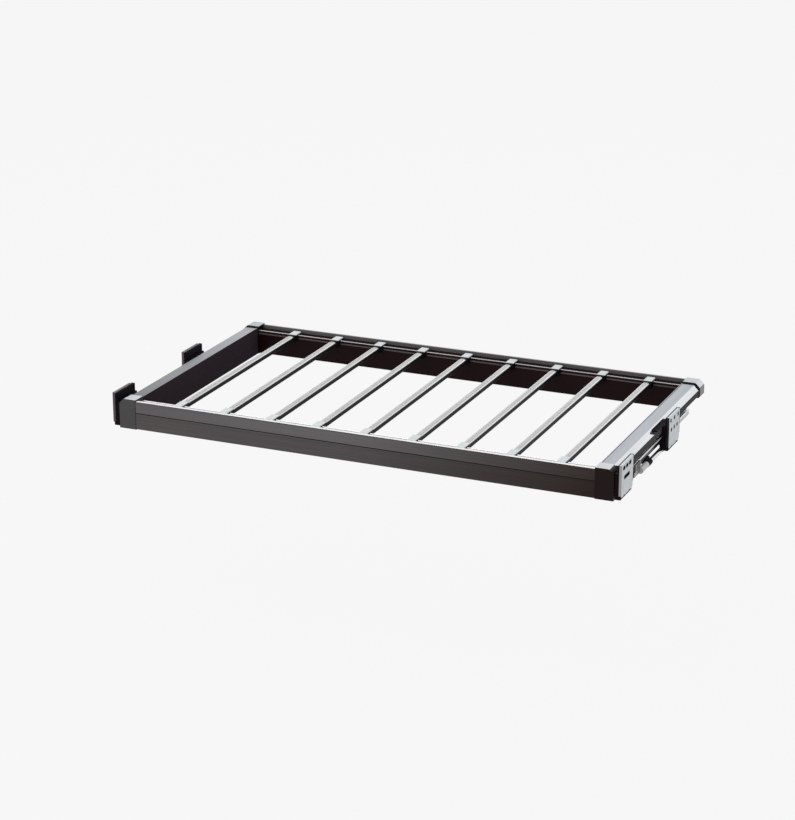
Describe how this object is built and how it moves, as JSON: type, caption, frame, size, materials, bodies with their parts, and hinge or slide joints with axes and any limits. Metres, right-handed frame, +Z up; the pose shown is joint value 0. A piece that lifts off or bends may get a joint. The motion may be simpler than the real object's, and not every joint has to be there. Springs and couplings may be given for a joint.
{
  "type": "pull out trouser rack",
  "caption": "Low sliding frame that hangs between two cabinet sides, with round-shouldered bars across its depth for folded trousers.",
  "frame": {"origin": "bottom centre of the closed rack with its wall brackets, at the underside of the corner caps", "axes": "+X across the cabinet to the right, +Y to the cabinet's back, +Z up; the rack opens toward -Y"},
  "size_m": [0.864, 0.468, 0.058],
  "materials": {
    "rail_anodised": "satin anodised",
    "cap_bronze": "satin metallic paint",
    "gasket_black": "matt",
    "screw_steel": "blackened",
    "bar_dark": "satin anodised",
    "grip_rubber": "ribbed",
    "clip_grey": "satin",
    "slide_steel": "zinc plated",
    "cage_steel": "plain",
    "plate_steel": "zinc plated",
    "carrier_black": "fine grain",
    "rivet_steel": "plain",
    "cylinder_chrome": "polished",
    "housing_grey": "satin"
  },
  "bodies": {
    "cabinet_side": {"slide_outer_left": "slide_steel", "wall_plate_front_left": "plate_steel", "carrier_front_left": "carrier_black", "wall_plate_rear_left": "plate_steel", "carrier_rear_left": "carrier_black", "slide_outer_right": "slide_steel", "wall_plate_front_right": "plate_steel", "carrier_front_right": "carrier_black", "wall_plate_rear_right": "plate_steel", "carrier_rear_right": "carrier_black", "bracket_rivets": "rivet_steel", "damper_cradles": "carrier_black", "damper_cylinders": "cylinder_chrome", "damper_housings": "housing_grey"},
    "rack": {"front_rail": "rail_anodised", "back_rail": "rail_anodised", "side_rail_left": "rail_anodised", "side_rail_right": "rail_anodised", "cap_front_left": "cap_bronze", "cap_front_right": "cap_bronze", "cap_rear_left": "cap_bronze", "cap_rear_right": "cap_bronze", "rear_gaskets": "gasket_black", "rack_screws": "screw_steel", "slide_inner_left": "slide_steel", "slide_inner_right": "slide_steel"},
    "slide_middle_left_body": {"slide_middle_left": "slide_steel"},
    "cage_outer_left_body": {"cage_outer_left": "cage_steel"},
    "cage_inner_left_body": {"cage_inner_left": "cage_steel"},
    "slide_middle_right_body": {"slide_middle_right": "slide_steel"},
    "cage_outer_right_body": {"cage_outer_right": "cage_steel"},
    "cage_inner_right_body": {"cage_inner_right": "cage_steel"},
    "bar_1_body": {"bar_1": "bar_dark", "grip_strip_1": "grip_rubber", "bar_clips_1": "clip_grey"},
    "bar_2_body": {"bar_2": "bar_dark", "grip_strip_2": "grip_rubber", "bar_clips_2": "clip_grey"},
    "bar_3_body": {"bar_3": "bar_dark", "grip_strip_3": "grip_rubber", "bar_clips_3": "clip_grey"},
    "bar_4_body": {"bar_4": "bar_dark", "grip_strip_4": "grip_rubber", "bar_clips_4": "clip_grey"},
    "bar_5_body": {"bar_5": "bar_dark", "grip_strip_5": "grip_rubber", "bar_clips_5": "clip_grey"},
    "bar_6_body": {"bar_6": "bar_dark", "grip_strip_6": "grip_rubber", "bar_clips_6": "clip_grey"},
    "bar_7_body": {"bar_7": "bar_dark", "grip_strip_7": "grip_rubber", "bar_clips_7": "clip_grey"},
    "bar_8_body": {"bar_8": "bar_dark", "grip_strip_8": "grip_rubber", "bar_clips_8": "clip_grey"},
    "bar_9_body": {"bar_9": "bar_dark", "grip_strip_9": "grip_rubber", "bar_clips_9": "clip_grey"}
  },
  "joints": [
    {"name": "rack_slide", "type": "slide", "parent": "cabinet_side", "child": "rack", "axis": [0, -1, 0], "range_m": [0, 0.34]},
    {"name": "slide_middle_left_slide", "type": "slide", "parent": "cabinet_side", "child": "slide_middle_left_body", "axis": [0, -1, 0], "range_m": [0, 0.17]},
    {"name": "cage_outer_left_slide", "type": "slide", "parent": "cabinet_side", "child": "cage_outer_left_body", "axis": [0, -1, 0], "range_m": [0, 0.085]},
    {"name": "cage_inner_left_slide", "type": "slide", "parent": "cabinet_side", "child": "cage_inner_left_body", "axis": [0, -1, 0], "range_m": [0, 0.255]},
    {"name": "slide_middle_right_slide", "type": "slide", "parent": "cabinet_side", "child": "slide_middle_right_body", "axis": [0, -1, 0], "range_m": [0, 0.17]},
    {"name": "cage_outer_right_slide", "type": "slide", "parent": "cabinet_side", "child": "cage_outer_right_body", "axis": [0, -1, 0], "range_m": [0, 0.085]},
    {"name": "cage_inner_right_slide", "type": "slide", "parent": "cabinet_side", "child": "cage_inner_right_body", "axis": [0, -1, 0], "range_m": [0, 0.255]},
    {"name": "bar_1_shift", "type": "slide", "parent": "rack", "child": "bar_1_body", "axis": [1, 0, 0], "range_m": [-0.03, 0.03]},
    {"name": "bar_2_shift", "type": "slide", "parent": "rack", "child": "bar_2_body", "axis": [1, 0, 0], "range_m": [-0.03, 0.03]},
    {"name": "bar_3_shift", "type": "slide", "parent": "rack", "child": "bar_3_body", "axis": [1, 0, 0], "range_m": [-0.03, 0.03]},
    {"name": "bar_4_shift", "type": "slide", "parent": "rack", "child": "bar_4_body", "axis": [1, 0, 0], "range_m": [-0.03, 0.03]},
    {"name": "bar_5_shift", "type": "slide", "parent": "rack", "child": "bar_5_body", "axis": [1, 0, 0], "range_m": [-0.03, 0.03]},
    {"name": "bar_6_shift", "type": "slide", "parent": "rack", "child": "bar_6_body", "axis": [1, 0, 0], "range_m": [-0.03, 0.03]},
    {"name": "bar_7_shift", "type": "slide", "parent": "rack", "child": "bar_7_body", "axis": [1, 0, 0], "range_m": [-0.03, 0.03]},
    {"name": "bar_8_shift", "type": "slide", "parent": "rack", "child": "bar_8_body", "axis": [1, 0, 0], "range_m": [-0.03, 0.03]},
    {"name": "bar_9_shift", "type": "slide", "parent": "rack", "child": "bar_9_body", "axis": [1, 0, 0], "range_m": [-0.03, 0.03]}
  ],
  "couplings": [
    {"joint": "slide_middle_left_slide", "follows": "rack_slide", "ratio": 0.5},
    {"joint": "cage_outer_left_slide", "follows": "rack_slide", "ratio": 0.25},
    {"joint": "cage_inner_left_slide", "follows": "rack_slide", "ratio": 0.75},
    {"joint": "slide_middle_right_slide", "follows": "rack_slide", "ratio": 0.5},
    {"joint": "cage_outer_right_slide", "follows": "rack_slide", "ratio": 0.25},
    {"joint": "cage_inner_right_slide", "follows": "rack_slide", "ratio": 0.75}
  ]
}
